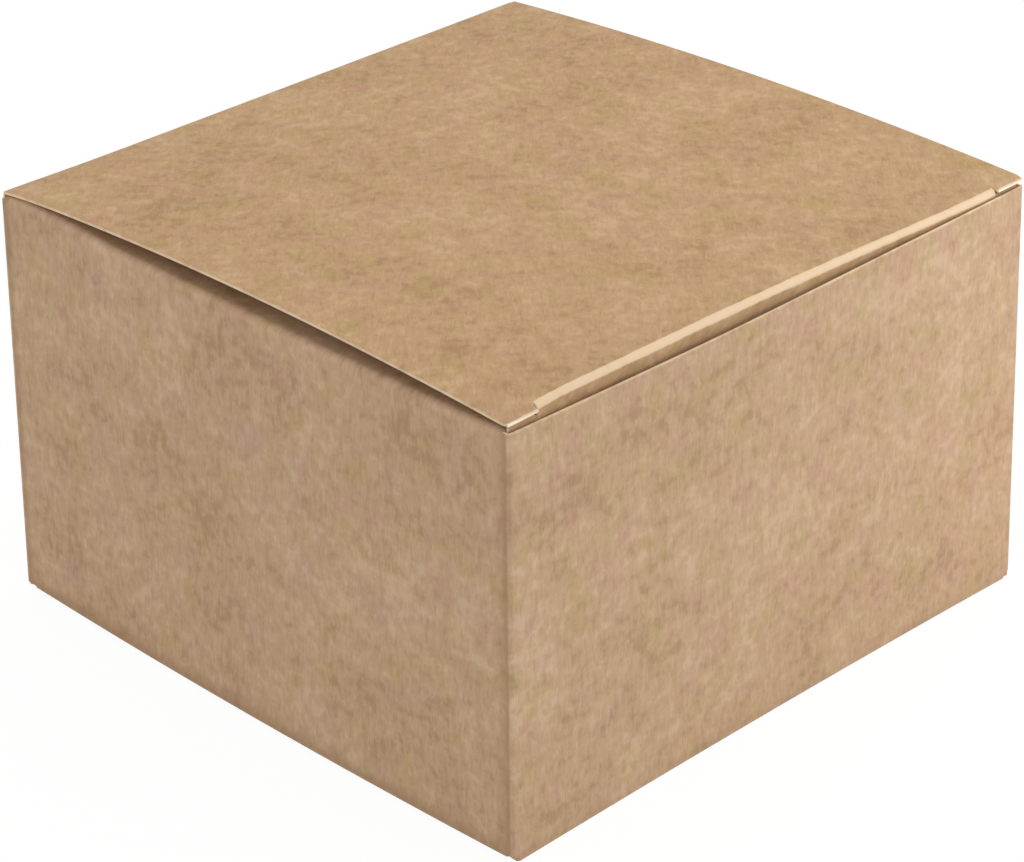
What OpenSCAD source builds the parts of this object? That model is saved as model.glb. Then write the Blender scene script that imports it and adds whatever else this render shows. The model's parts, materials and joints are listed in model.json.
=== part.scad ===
// Square tuck-top food carton, folded from one sheet of brown paperboard.
// The four walls stand on a self-locking base, and the lid is hinged on the back wall.
// It closes with a tuck flap whose two end slits catch the corners of the walls.
// The width runs along X, the depth along Y with the tuck side at -Y, and +Z is up.

/* [Carton] */
// Inside width, between the two side walls
inside_w = 115; // [100:1:160]
// Inside depth, between the front wall and the hinge wall
inside_d = 115; // [100:1:160]
// Height of the walls, from the table to the top folds
wall_h = 71; // [50:1:120]
// Thickness of the paperboard
board = 0.42; // [0.3:0.02:0.7]
// Outer radius of the wall corners and of the base folds
fold_r = 0.9; // [0.8:0.05:1.4]
// Width of the glued flap that closes the wall at the back corner
seam_w = 15; // [10:1:25]
// How far the raw edge over the glued flap stops short of the outside of the hinge wall
seam_back = 0.55; // [0.4:0.05:0.7]

/* [Dust flaps] */
// Length of each dust flap, from the outside of its wall
dust_len = 46; // [30:1:48]
// Outer radius of the fold between a side wall and its dust flap
dust_fold_r = 1.3; // [0.9:0.1:2]
// Set-back of a dust flap from the outside of the front wall
dust_front = 2.6; // [2.4:0.1:5]
// Set-back of a dust flap from the outside of the hinge wall
dust_back = 2; // [1.5:0.1:5]
// Narrowing of each dust flap towards its free end, on each side
dust_taper = 7; // [2:1:12]
// Radius of the free corners of a dust flap
dust_corner_r = 9; // [3:1:14]

/* [Base] */
// How far each main base flap reaches past the middle of the base
lock_reach = 9; // [5:1:14]
// How far the shallow half of a main flap lies past the edge of the other's lock
lock_lap = 8; // [4:1:10]
// Sideways lean of the lock's meeting line, on each side of the middle
lock_lean = 5; // [2:0.5:9]
// Length over which a shallow half climbs on to the other flap
lock_ramp = 4; // [2:0.5:6]
// Cutting gap between the two locks
lock_gap = 0.4; // [0.2:0.1:1]
// Length of the glued side flaps of the base, from their walls
side_flap_len = 46; // [30:1:48]
// Length of the glue triangle along the diagonal fold, measured along X
glue_len = 38; // [20:1:42]
// Set-back of the base flaps from the corners they pass
base_relief = 1; // [0.5:0.1:3]
// Slant across the outer corner of a deep half, along its end
slant_w = 4; // [1:0.5:8]
// Slant across the outer corner of a deep half, along its side
slant_d = 3; // [3:0.5:6]
// Narrowing of a shallow half towards its free end
lap_taper = 16; // [6:1:20]
// Radius of the deep half's outer corners
deep_corner_r = 2; // [0.5:0.5:2]
// Radius of the deep half's hooked nose
nose_r = 4; // [1:0.5:5]
// Radius of the shallow half's corner beside the lock
lap_inner_r = 3; // [1:0.5:3]
// Radius of the shallow half's outer corner
lap_outer_r = 6; // [2:0.5:6]
// Radius of a side flap's free corner
side_corner_r = 8; // [2:1:12]
// Radius of the glue triangle's corner on the diagonal
glue_tip_r = 2; // [1:0.5:3]
// Radius of the glue triangle's corner along the wall
glue_heel_r = 4; // [1:0.5:6]

/* [Lid] */
// Rise of the lid's arch in the middle, above the line from hinge to tuck fold
lid_crown = 1.5; // [0.6:0.1:4]
// Outer radius of the tuck fold
roll_r = 2; // [1.2:0.1:2.8]
// Height of the tuck fold's top above the front wall's cut edge
roll_rise = 2.6; // [2:0.1:3.5]
// Length of the tuck flap below its fold
tuck_len = 20; // [12:1:28]
// Radius of the tuck flap's lower corners
tuck_corner_r = 12; // [4:1:12]
// Length of the lock slit at each end of the tuck fold
slit_len = 6.3; // [4:0.1:9]
// Width of the lock slit
slit_gap = 0.4; // [0.2:0.1:0.8]
// Height of the ears' cut edge above the front wall's cut edge
ear_rise = 0.3; // [-1:0.1:0.5]
// Set-back of the lid's side edges from the outside of the side walls
lid_inset = 0.15; // [0.05:0.05:0.6]

/* [Clearances] */
// Gap between the dust flaps and the lid, at the hinge
lid_gap = 0.3; // [0.2:0.05:0.8]
// Gap between the front wall and the tuck flap, at the wall's cut edge
tuck_gap = 0.35; // [0.3:0.05:0.8]
// Room left at the tuck flap's tip when it swings past the front wall
swing_gap = 0.35; // [0.3:0.05:1]
// Gap between the tuck flap's ears and the side walls
ear_gap = 1; // [0.5:0.1:2.5]
// Gap between the rounded top of the hinge wall and the lid's seat on it
hinge_gap = 0.15; // [0.12:0.01:0.25]

/* [Hidden] */
$fn = 96;
kraft = [0.76, 0.63, 0.47];

// The largest turn between two points of a rounded corner, in degrees
corner_step = 11;
// How far what cuts reaches past what it cuts
past = 1;

half_w = inside_w / 2 + board;
half_d = inside_d / 2 + board;
lid_half_w = half_w - lid_inset;

// The base is up to three boards thick: a main flap, a glue triangle or the
// other main flap on it, and a side flap on top.
layer_2 = board;
layer_3 = 2 * board;

// Hinge line, in the middle of the board at the top of the back wall
hinge_y = half_d - board / 2;
hinge_z = wall_h + lid_gap + board / 2;
hinge = [hinge_y, hinge_z];

// The lid's arch runs in the middle of the board, from the hinge to the tuck fold.
fold_top = [board + tuck_gap + roll_r - half_d, wall_h + roll_rise - board / 2];
chord = hinge - fold_top;
chord_len = norm(chord);
arch_r = chord_len * chord_len / (8 * lid_crown) + lid_crown / 2;
chord_up = [-chord[1], chord[0]] / chord_len;
arch_c = (hinge + fold_top) / 2 - chord_up * (arch_r - lid_crown);
arch_hinge_a = angle_of(hinge - arch_c);
arch_fold_a = angle_of(fold_top - arch_c);
tab_a = acos((board / 2 - half_d - arch_c[0]) / arch_r);
arch_steps = 24;
arch_last_a = arch_fold_a - (arch_fold_a - arch_hinge_a) / arch_steps;

// The tuck fold carries on from the arch without a kink.
roll_c = fold_top - (roll_r - board / 2) * heading(arch_fold_a);
tuck_lean = atan(tuck_len / (2 * inside_d) + swing_gap / tuck_len);
roll_end_a = 180 + tuck_lean;
roll_steps = 12;
roll_half_w = half_w - slit_len - slit_gap / 2;
tab_half_w = half_w - slit_len + slit_gap / 2;
ear_half_w = inside_w / 2 - ear_gap;
ear_top_z = wall_h + ear_rise;
tuck_foot_z = roll_c[1] - roll_r * sin(tuck_lean) - tuck_len * cos(tuck_lean);

function heading(a) = [cos(a), sin(a)];
function angle_of(v) = atan2(v[1], v[0]);
function arc(c, r, from, to, steps, first = 0) =
    [for (i = [first:steps]) c + r * heading(from + (to - from) * i / steps)];
function reversed(points) = [for (i = [len(points) - 1:-1:0]) points[i]];

// Points of an arc that rounds the corner p between its neighbours a and b.
function corner(a, p, b, r) =
    let (
        u = (a - p) / norm(a - p),
        v = (b - p) / norm(b - p),
        half = acos(u * v) / 2,
        c = p + (u + v) / norm(u + v) * r / sin(half),
        from = angle_of(p + u * r / tan(half) - c),
        turn = (180 - 2 * half) * sign(u[1] * v[0] - u[0] * v[1]),
        steps = max(2, ceil(abs(turn) / corner_step))
    )
    r == 0 ? [p] : [for (i = [0:steps]) c + r * heading(from + turn * i / steps)];

// Outline through points, each rounded by the radius beside it.
function rounded(points, radii) =
    let (n = len(points))
    [for (i = [0:n - 1])
        each corner(points[(i + n - 1) % n], points[i], points[(i + 1) % n], radii[i])];

// Part of a ring, as thick as the board, whose middle has radius r.
module bend(r, from, to) {
    middle = (from + to) / 2;
    intersection() {
        difference() {
            circle(r + board / 2);
            circle(r - board / 2);
        }
        polygon([[0, 0], 2 * r * heading(from), 2 * r * heading(middle), 2 * r * heading(to)]);
    }
}

// A profile drawn in Y and Z, drawn out along X over the given width.
module across(width) {
    rotate([90, 0, 90])
        linear_extrude(width, center = true)
            children();
}

module sheet(z, outline) {
    translate([0, 0, z])
        linear_extrude(board)
            polygon(outline);
}

module block(low, high) {
    translate(low)
        cube(high - low);
}

module round_square(w, d, r) {
    square([w - 2 * r, d], center = true);
    square([w, d - 2 * r], center = true);
    for (x = [r - w / 2, w / 2 - r], y = [r - d / 2, d / 2 - r])
        translate([x, y])
            circle(r);
}

// Plan of the wall: three folded corners, and a raw edge over the glued flap at the fourth.
module wall_plan() {
    corner_x = half_w - board - fold_r;
    corner_y = half_d - fold_r;
    difference() {
        round_square(2 * half_w, 2 * half_d, fold_r);
        round_square(inside_w, inside_d, fold_r - board);
        translate([corner_x, corner_y])
            square(2 * fold_r + board);
    }
    translate([corner_x, corner_y])
        bend(fold_r - board / 2, 0, 90);
    translate([half_w - 2 * board, half_d - 2 * fold_r])
        square([2 * board, fold_r]);
    translate([half_w - board, half_d - 2 * fold_r])
        square([board, 2 * fold_r - seam_back]);
}

// The glued flap lies inside the side wall, with its ends cut back.
module seam_flap() {
    bottom = layer_3 + board + fold_r;
    top = wall_h - dust_fold_r;
    cut = seam_w / 4;
    front = half_d - seam_w;
    translate([half_w - 2 * board, 0, 0])
        rotate([90, 0, 90])
            linear_extrude(board)
                polygon([
                    [half_d - fold_r, bottom],
                    [half_d - fold_r, top],
                    [front, top - cut],
                    [front, bottom + cut]
                ]);
}

// Front and back walls reach down to the table, the side walls to the top base layer.
module walls() {
    side_foot = layer_3 + fold_r;
    side_top = wall_h - dust_fold_r;
    translate([0, 0, side_foot])
        linear_extrude(side_top - side_foot)
            wall_plan();
    for (turn = [0, 180])
        rotate([0, 0, turn])
            block([fold_r - half_w, -half_d, fold_r], [half_w - fold_r - board, board - half_d, side_foot]);
    // The walls' corners stand as high as the front wall's cut edge.
    difference() {
        translate([0, 0, side_top])
            linear_extrude(wall_h - side_top)
                wall_plan();
        block(
            [-half_w - past, dust_front - half_d, side_top - past],
            [half_w + past, half_d - dust_back, wall_h + past]
        );
    }
    // The hinge wall stands up to the hinge line, where it has a rounded top.
    block([fold_r - half_w, half_d - board, side_top], [half_w - fold_r - board, half_d, hinge_z]);
    translate([fold_r - half_w, hinge_y, hinge_z])
        rotate([0, 90, 0])
            cylinder(h = 2 * half_w - 2 * fold_r - board, r = board / 2);
    // The front wall's cut edge
    block([fold_r - half_w, -half_d, side_top], [half_w - fold_r - board, board - half_d, wall_h]);
}

// A dust flap and the soft fold that carries it, on the left wall.
module dust_flap() {
    front = dust_front - half_d;
    back = half_d - dust_back;
    root = dust_fold_r - half_w;
    tip = dust_len - half_w;
    sheet(wall_h - board, rounded(
        [[root, front], [tip, front + dust_taper], [tip, back - dust_taper], [root, back]],
        [0, dust_corner_r, dust_corner_r, 0]
    ));
    translate([root, back, wall_h - dust_fold_r])
        rotate([90, 0, 0])
            linear_extrude(back - front)
                bend(dust_fold_r - board / 2, 90, 180);
}

// One main flap of the base, on the front wall. Its left half is deep and lies on the
// table. Its right half is shallow and climbs on to the deep half of the other flap.
module main_flap() {
    left = fold_r + base_relief - half_w;
    right = half_w - fold_r - base_relief;
    root = fold_r - half_d;
    step = -lock_reach - lock_ramp;
    nose = lock_reach;
    over = lock_lap - lock_reach;
    gap = lock_gap / 2;
    // The deep half, with the nose that hooks beside the other flap's
    sheet(0, rounded(
        [[left, root], [left, nose - slant_d], [left + slant_w, nose],
            [-lock_lean - gap, nose], [lock_lean - gap, -nose - gap], [lock_lean - gap, step],
            [right, step], [right, root]],
        [0, deep_corner_r, deep_corner_r, nose_r, 0, 0, 0, 0]
    ));
    // The climb, then the part that lies on the other flap
    translate([(lock_lean + right) / 2, 0, 0])
        across(right - lock_lean)
            polygon([[step, 0], [step + lock_ramp, layer_2], [step + lock_ramp, layer_2 + board],
                [step, board]]);
    sheet(layer_2, rounded(
        [[lock_lean, -lock_reach], [lock_lean, over], [right - lap_taper, over], [right, -lock_reach]],
        [0, lap_inner_r, lap_outer_r, 0]
    ));
    // The fold between the wall and the flap
    translate([0, root, fold_r])
        across(right - left)
            bend(fold_r - board / 2, 180, 270);
}

// One side flap of the base, on the left wall. It is folded back along the diagonal from
// the front corner, and the triangle under it is glued to the main flap.
module side_flap() {
    root = fold_r - half_w;
    tip = side_flap_len - half_w;
    fold_start = fold_r - half_d + base_relief;
    fold_end = fold_start + tip - root;
    back = half_d - fold_r - 2 * base_relief;
    sheet(layer_3, rounded(
        [[root, fold_start], [tip, fold_end], [tip, back - side_flap_len], [root, back]],
        [0, 0, side_corner_r, 0]
    ));
    sheet(layer_2, rounded(
        [[root + base_relief, fold_start + base_relief], [root + glue_len, fold_start + glue_len],
            [root + base_relief, fold_start + glue_len - 2 * base_relief]],
        [0, glue_tip_r, glue_heel_r]
    ));
    translate([root, back, layer_3 + fold_r])
        rotate([90, 0, 0])
            linear_extrude(back - fold_start)
                bend(fold_r - board / 2, 180, 270);
}

module carton() {
    color(kraft) {
        walls();
        seam_flap();
        for (turn = [0, 180])
            rotate([0, 0, turn]) {
                main_flap();
                side_flap();
            }
        dust_flap();
        mirror([1, 0, 0])
            dust_flap();
    }
}

// Profile of the arch from the hinge to the tab's cut edge
function panel_profile() = concat(
    arc(arch_c, arch_r + board / 2, arch_hinge_a, arch_fold_a, arch_steps),
    arc(arch_c, arch_r + board / 2, arch_fold_a, tab_a, 1, 1),
    arc(arch_c, arch_r - board / 2, tab_a, arch_fold_a, 1),
    arc(arch_c, arch_r - board / 2, arch_fold_a, arch_hinge_a, arch_steps, 1)
);

// Profile of the tuck fold and its flap, with the arch's last stretch
function tuck_profile() =
    let (
        down = tuck_len * heading(roll_end_a + 90),
        outside = concat(
            [arch_c + (arch_r + board / 2) * heading(arch_last_a)],
            arc(roll_c, roll_r, arch_fold_a, roll_end_a, roll_steps),
            [roll_c + roll_r * heading(roll_end_a) + down]
        ),
        inside = concat(
            [arch_c + (arch_r - board / 2) * heading(arch_last_a)],
            arc(roll_c, roll_r - board, arch_fold_a, roll_end_a, roll_steps),
            [roll_c + (roll_r - board) * heading(roll_end_a) + down]
        )
    )
    concat(outside, reversed(inside));

// The arched panel. Its front edge is left standing only outside the slits, as two flat
// tabs over the wall corners. A hollow seats it on the hinge wall's rounded top.
module lid_panel() {
    difference() {
        across(2 * lid_half_w)
            polygon(panel_profile());
        block(
            [-tab_half_w, -half_d - past, wall_h],
            [tab_half_w, fold_top[0] + board, wall_h + 2 * roll_rise]
        );
        translate([-half_w - past, hinge_y, hinge_z])
            rotate([0, 90, 0])
                cylinder(h = 2 * (half_w + past), r = board / 2 + hinge_gap);
    }
}

// What is cut from a square corner at the origin to round it
module corner_cut(r) {
    difference() {
        translate([-r, -past])
            square(r + past);
        translate([-r, r])
            circle(r);
    }
}

// The soft fold and the flap below it. Outside the slits the flap has ears, which stand
// behind the front wall and show just above its cut edge.
module tuck_flap() {
    difference() {
        across(2 * ear_half_w)
            polygon(tuck_profile());
        for (side = [0, 1])
            mirror([side, 0, 0]) {
                block([roll_half_w, -half_d - past, ear_top_z], [half_w, 0, wall_h + 2 * roll_rise]);
                translate([ear_half_w, 0, tuck_foot_z])
                    rotate([90, 0, 0])
                        linear_extrude(half_d)
                            corner_cut(tuck_corner_r);
            }
    }
}

module lid() {
    color(kraft) {
        lid_panel();
        tuck_flap();
    }
}

carton();
lid();
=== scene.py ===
"""Looks of a square kraft burger box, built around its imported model.

The box is one sheet of paperboard. Its carton and its lid are each cut here as a flat blank
and then folded, so that the fibres follow each blank over its folds.
"""

import json
import math

import bmesh
import bpy
from bpy.props import FloatProperty, FloatVectorProperty, PointerProperty
from mathutils import Matrix, Vector, noise


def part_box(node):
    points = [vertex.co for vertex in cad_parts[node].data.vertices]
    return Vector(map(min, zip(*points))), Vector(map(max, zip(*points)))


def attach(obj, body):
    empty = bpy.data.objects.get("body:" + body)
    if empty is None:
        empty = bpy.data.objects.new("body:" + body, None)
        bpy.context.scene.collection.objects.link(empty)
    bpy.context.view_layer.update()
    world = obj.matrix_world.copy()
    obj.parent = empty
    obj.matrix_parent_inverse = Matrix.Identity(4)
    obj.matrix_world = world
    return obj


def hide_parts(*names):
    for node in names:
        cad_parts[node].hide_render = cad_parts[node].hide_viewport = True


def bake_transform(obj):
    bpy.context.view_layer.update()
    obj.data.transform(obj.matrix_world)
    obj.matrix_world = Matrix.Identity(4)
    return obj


bl_info = {
    "name": "Kraft burger box",
    "version": (1, 0, 0),
    "blender": (4, 5, 0),
    "location": "3D View > Sidebar > Burger box",
    "description": "Folds the carton and the lid of a kraft burger box, and lights them",
    "category": "Object",
}

MM = 0.001
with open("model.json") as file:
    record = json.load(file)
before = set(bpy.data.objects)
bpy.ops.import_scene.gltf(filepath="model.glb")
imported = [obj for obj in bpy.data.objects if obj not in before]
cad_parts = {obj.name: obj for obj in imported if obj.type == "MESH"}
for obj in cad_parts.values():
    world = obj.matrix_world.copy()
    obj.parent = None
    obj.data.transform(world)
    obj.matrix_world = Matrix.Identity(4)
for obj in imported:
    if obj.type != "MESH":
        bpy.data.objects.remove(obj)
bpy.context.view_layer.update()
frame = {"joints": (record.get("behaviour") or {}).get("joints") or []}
CARTON_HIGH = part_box("carton")[1]
HINGE_Y, HINGE_Z = next(j for j in frame["joints"] if j["name"] == "lid_hinge")["pos_m"][1:]
HALF_W = CARTON_HIGH.x
HALF_D = CARTON_HIGH.y
BOARD = (CARTON_HIGH.z - HINGE_Z) * 2
SHEET_UV = "Sheet"
WEAR_AND_PAINTED_LIGHT = "wear"

# Fineness of the meshes
GRID = 3 * MM
TAB_GRID = MM
FOLD_STEPS = 6
TUCK_FOLD_STEPS = 14
ROUND_STEPS = 8

# Wear, painted highlight and painted shade: how far they reach beside a fold or a cut edge, and how strong
# they are
WEAR_REACH = 0.35 * MM
SHADE_REACH = 3 * MM
RAW_EDGE_WEAR = 0.6
FOLD_WEAR = 0.3
LEFT_SHADE = 0.7
FOOT_SHADE = 0.35
CREASE_WEAR = 0.1
# The tuck fold's pale band, broken fibres with a painted highlight on them, holds up to this share of the
# fold's turn and fades over the next
TUCK_WEAR_AND_HIGHLIGHT_TO = 0.75
TUCK_WEAR_AND_HIGHLIGHT_FADE = 0.55

# Shares of the box's width and depth, and of an ear's width, over which sags and lifts fade
SAG_START = 0.3
SAG_FADE = 0.45
LIFT_REACH_X = 0.1
LIFT_REACH_Y = 0.15
LEFT_RISE_SHARE = 0.22
EAR_STEP = 0.1

# Skews of the swellings along the left edge: below 1 the top lies nearer the hinge
LEFT_SAG_SKEW = 1.4
LEFT_RISE_SKEW = 0.7
CROWN_SKEW = 0.6


def length(name, description, size):
    """A length that a user can change, given in millimetres."""
    return FloatProperty(name=name, description=description, default=size * MM, unit="LENGTH", precision=5)


def tilt(name, description, degrees):
    """An angle that a user can change, given in degrees."""
    return FloatProperty(name=name, description=description, default=math.radians(degrees), subtype="ANGLE")


def number(name, description, value):
    """A plain number that a user can change."""
    return FloatProperty(name=name, description=description, default=value)


def spot(name, description, x, y, z):
    """A place in the scene that a user can change, given in metres."""
    return FloatVectorProperty(name=name, description=description, default=(x, y, z), subtype="TRANSLATION")


class CartonSizes(bpy.types.PropertyGroup):
    """Sizes of the carton's folds and flaps"""

    fold_r: length("Corner fold", "Outer radius of the wall corners and of the base folds", 0.6)
    lid_gap: length("Gap under the lid", "Gap between the dust flaps and the lid, at the hinge", 0.3)
    seam_w: length("Glue flap", "Width of the glued flap inside the back corner", 15)
    dust_len: length("Dust flap", "Length of each dust flap, from the outside of its wall", 46)
    dust_fold_r: length("Dust fold", "Outer radius of the fold that carries a dust flap", 1.3)
    dust_front: length("Dust flap front", "Set-back of a dust flap from the front wall", 1.6)
    dust_back: length("Dust flap back", "Set-back of a dust flap from the hinge wall", 0.85)
    dust_taper: length("Dust flap taper", "Narrowing of a dust flap on each side", 7)
    dust_corner_r: length("Dust flap corner", "Radius of a dust flap's free corners", 9)
    dust_relief: length("Dust flap relief", "Gap cut beside each end of a dust flap's fold", 0.25)
    lock_reach: length("Lock reach", "How far a main base flap reaches past the middle", 9)
    lock_lap: length("Lock lap", "How far a shallow half lies past the other flap's lock", 8)
    lock_lean: length("Lock lean", "Sideways lean of the lock's meeting line", 5)
    lock_ramp: length("Lock ramp", "Length over which a shallow half climbs", 4)
    lock_gap: length("Lock gap", "Cutting gap between the two locks", 0.4)
    side_flap_len: length("Side base flap", "Length of the side flaps of the base", 46)
    glue_len: length("Glue triangle", "Length of the glued triangle along X", 38)
    base_relief: length("Base relief", "Set-back of the base flaps from the corners", 1)
    slant_w: length("Slant, across", "Slant at a deep half's outer corner, along its end", 4)
    slant_d: length("Slant, along", "Slant at a deep half's outer corner, along its side", 3)
    lap_taper: length("Lap taper", "Narrowing of a shallow half towards its free end", 16)
    deep_corner_r: length("Deep corner", "Radius of a deep half's outer corner", 2)
    lock_corner_r: length("Lock corner", "Radius of a deep half's inner corner", 4)
    lap_corner_r: length("Lap corner", "Radius of a shallow half's outer corner", 6)
    lap_inner_r: length("Lap inner corner", "Radius of a shallow half's inner corner", 3)
    side_corner_r: length("Side flap corner", "Radius of a side base flap's free corner", 8)
    lean_left: length("Left lean", "How far the left wall's top leans in", 2.0)
    lean_right: length("Right lean", "How far the right wall's top leans in", 0.36)
    lean_front: length("Front lean", "How far the front wall's top leans in", 1.06)
    front_bow: length("Front bow", "How far the front wall's cut edge bows out", 0.8)
    front_foot_bow: length("Front foot bow", "How far the front wall's foot bows out", -0.64)
    left_bow: length("Left bow", "How far the left wall's top fold bows out", -0.41)
    left_foot_bow: length("Left foot bow", "How far the left wall's foot bows out", 1.09)
    bow_reach: length("Bow reach", "Length over which a bowed fold's flap comes back to its place", 22)
    wave: length("Wave", "Height of the slow waves in the walls", 0.12)
    wave_size: length("Wave size", "Size of the slow waves in the walls", 38)
    near_sag: length("Front sag", "How much lower the walls' tops lie at the front left corner", 0.4)
    left_sag: length("Left sag", "How far the left wall's top fold sags", 0.75)
    left_rise: length("Left rise", "How much higher the left wall's top fold lies near the back", 0.75)
    corner_lift: length("Back lift", "How much higher the walls' tops lie at the back left corner", 0.25)


class LidSizes(bpy.types.PropertyGroup):
    """Sizes of the lid, its tuck fold and its flap"""

    crown: length("Crown", "Rise of the lid's arch in the middle", 1.5)
    inset: length("Inset", "Set-back of the side edges from the side walls", 0.15)
    roll_r: length("Tuck fold", "Outer radius of the tuck fold", 0.85)
    roll_rise: length("Tuck fold rise", "Height of the tuck fold above the front wall", 2.7)
    tuck_gap: length("Tuck gap", "Gap between the front wall and the tuck flap", 0.15)
    tuck_len: length("Tuck flap", "Length of the tuck flap below its fold", 20)
    tuck_corner_r: length("Tuck flap corner", "Radius of the tuck flap's lower corners", 12)
    tuck_lean: tilt("Tuck lean", "Inward lean of the tuck flap", 1)
    ear_corner_r: length("Ear corner", "Radius of the ears' upper corners", 0.6)
    grain: tilt("Grain", "Turn of the fibres on the lid", 44)
    slit_len: length("Slit", "Length of the lock slit at each end of the tuck fold", 6.3)
    slit_gap: length("Slit gap", "Width of the lock slit", 0.3)
    ear_gap: length("Ear gap", "Gap between the tuck flap's ears and the side walls", 0.4)
    ear_rise: length("Ear rise", "Height of the ears' cut edge above the front wall's", 0.3)
    near_ear: length("Left ear", "How much higher the left ear stands", 0.9)
    far_ear: length("Right ear", "How much higher the right ear stands", 0.3)
    left_crown: length("Left crown", "How much higher the lid arches along its left edge", 0.75)
    left_reach: length("Left crown reach", "Width of the lid that the higher arch takes", 40)
    near_droop: length("Left droop", "How far the lid's front left corner is pressed down", 1.3)
    near_reach: length("Left droop reach", "Length of the front edge that the left droop takes", 5.6)
    near_tab: length("Left tab", "How far the left tab's front edge is pressed down", 1.05)
    far_droop: length("Right droop", "How far the lid's front is pressed down on the right", 1.75)
    far_reach: length("Right droop reach", "Length of the front edge that the right droop takes", 80)
    far_rebound: length("Right rebound", "How much less the lid's front right corner is pressed down", 0.6)
    far_tab: length("Right tab", "How far the right tab's front edge is pressed down", 1.5)
    crease_r: length("Crease", "Radius of the crease at the hinge", 0.6)


def colour(name, description, red, green, blue):
    """A colour that a user can change, given in the screen's own values from 0 to 255."""
    return FloatVectorProperty(
        name=name,
        description=description,
        subtype="COLOR",
        size=4,
        min=0,
        max=1,
        default=(*(to_linear(value / 255) for value in (red, green, blue)), 1),
    )


def to_linear(value):
    return value / 12.92 if value <= 0.04045 else ((value + 0.055) / 1.055) ** 2.4


class KraftColours(bpy.types.PropertyGroup):
    """Colours of the paperboard"""

    base: colour("Kraft", "The board's own brown", 196, 163, 130)
    rosy: colour("Rosy kraft", "Rosier clouds in the board", 196, 159, 132)
    olive: colour("Olive kraft", "Yellower clouds in the board", 192, 163, 121)
    # The dark fibre colour is also the painted shade beside the walls' folds and feet
    dark: colour("Dark fibre", "Darker fibres and blotches", 158, 124, 91)
    pale: colour("Pale fibre", "Paler fibres and blotches", 222, 193, 162)
    # The pale colour of broken fibres along creases, which on the tuck fold is also a painted highlight
    worn_and_painted_light: colour("Worn crease", "Broken fibres along a crease", 244, 219, 195)
    speck: colour("Speck", "Small dark specks of bark", 128, 98, 70)
    edge: colour("Cut edge", "The board's cut edge", 236, 212, 178)
    edge_worn: colour("Worn edge", "The cut edge of the lid's tabs", 255, 242, 218)
    edge_dark: colour("Cut edge, dark", "Shaded layers in the cut edge", 210, 182, 148)
    wall_tint: colour("Wall tint", "Tint over the walls", 255, 255, 255)
    # Painted light: a warmer, slightly darker cast over the whole lid, for warmer light on the lid than on
    # the walls
    lid_painted_light: colour("Lid tint", "Tint over the lid, which is a little warmer", 246, 241, 226)


class StageSettings(bpy.types.PropertyGroup):
    """Camera and lights"""

    lens: number("Lens", "Focal length on a 36 mm sensor", 124.992)
    eye: spot("Camera", "Place of the camera", -0.35501, -0.36785, 0.30229)
    heading: tilt("Heading", "Direction of view from +X", 46.057)
    down: tilt("Downward", "Downward tilt of the view", 28.159)
    roll: tilt("Roll", "Roll of the camera", -1.208)
    sky: number("Sky", "Strength of the even white light", 0.93)
    key: number("Key", "Power of the lamp on the right", 0.28)
    key_size: number("Key size", "Width of the lamp on the right", 0.16)
    key_place: spot("Key place", "Place of the lamp on the right", 0.22, -0.19, 0.125)
    floor: number("Floor", "Grey of the floor, as it lights the box", 0.63)
    floor_glow: number("Floor glow", "White of the floor, as the camera sees it", 1.05)
    floor_clear: number("Floor clearness", "Share of the shadow that is taken away", 0.9)


class BurgerBox(bpy.types.PropertyGroup):
    """All settings of the burger box"""

    carton: PointerProperty(type=CartonSizes)
    lid: PointerProperty(type=LidSizes)
    colours: PointerProperty(type=KraftColours)
    stage: PointerProperty(type=StageSettings)


def settings():
    return bpy.context.scene.burger_box


def wall_height():
    """Height of the front wall's cut edge and of the side walls' folds."""
    return HINGE_Z - BOARD / 2 - settings().carton.lid_gap


def smooth_step(value):
    value = min(max(value, 0), 1)
    return value * value * (3 - 2 * value)


def swell(share, skew=1):
    """A swelling that is 0 at both ends and 1 between them, in the middle where the skew is 1."""
    skewed = min(max(share, 0), 1) ** skew
    return 4 * skewed * (1 - skewed)


# Flat blanks


def add_panel(bm, corners, radii=()):
    """Adds one flat panel with straight sides, and rounds its corners by the radii beside them."""
    places = [Vector((x, y, 0)) for x, y in corners]
    verts = [bm.verts.new(place) for place in places]
    bm.faces.new(verts)
    for i, radius in enumerate(radii):
        if radius:
            before = (places[i - 1] - places[i]).normalized()
            after = (places[(i + 1) % len(places)] - places[i]).normalized()
            offset = radius / math.tan(before.angle(after) / 2)
            bmesh.ops.bevel(
                bm,
                geom=[verts[i]],
                offset=offset,
                offset_type="OFFSET",
                segments=ROUND_STEPS,
                profile=0.5,
                affect="VERTICES",
                material=-1,
            )


def add_rectangle(bm, left, right, bottom, top):
    add_panel(bm, [(left, bottom), (right, bottom), (right, top), (left, top)])


def cut_across(bm, axis, places):
    """Cuts all panels along lines at the given places, so that neighbours share their corners."""
    normal = Vector((0, 0, 0))
    normal[axis] = 1
    for place in places:
        geom = bm.verts[:] + bm.edges[:] + bm.faces[:]
        bmesh.ops.bisect_plane(bm, geom=geom, dist=2e-7, plane_co=normal * place, plane_no=normal)


def steps_between(low, high, step):
    """Evenly spaced places from low to high, about one step apart, both ends included."""
    count = max(1, round((high - low) / step))
    return [low + (high - low) * i / count for i in range(count + 1)]


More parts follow.
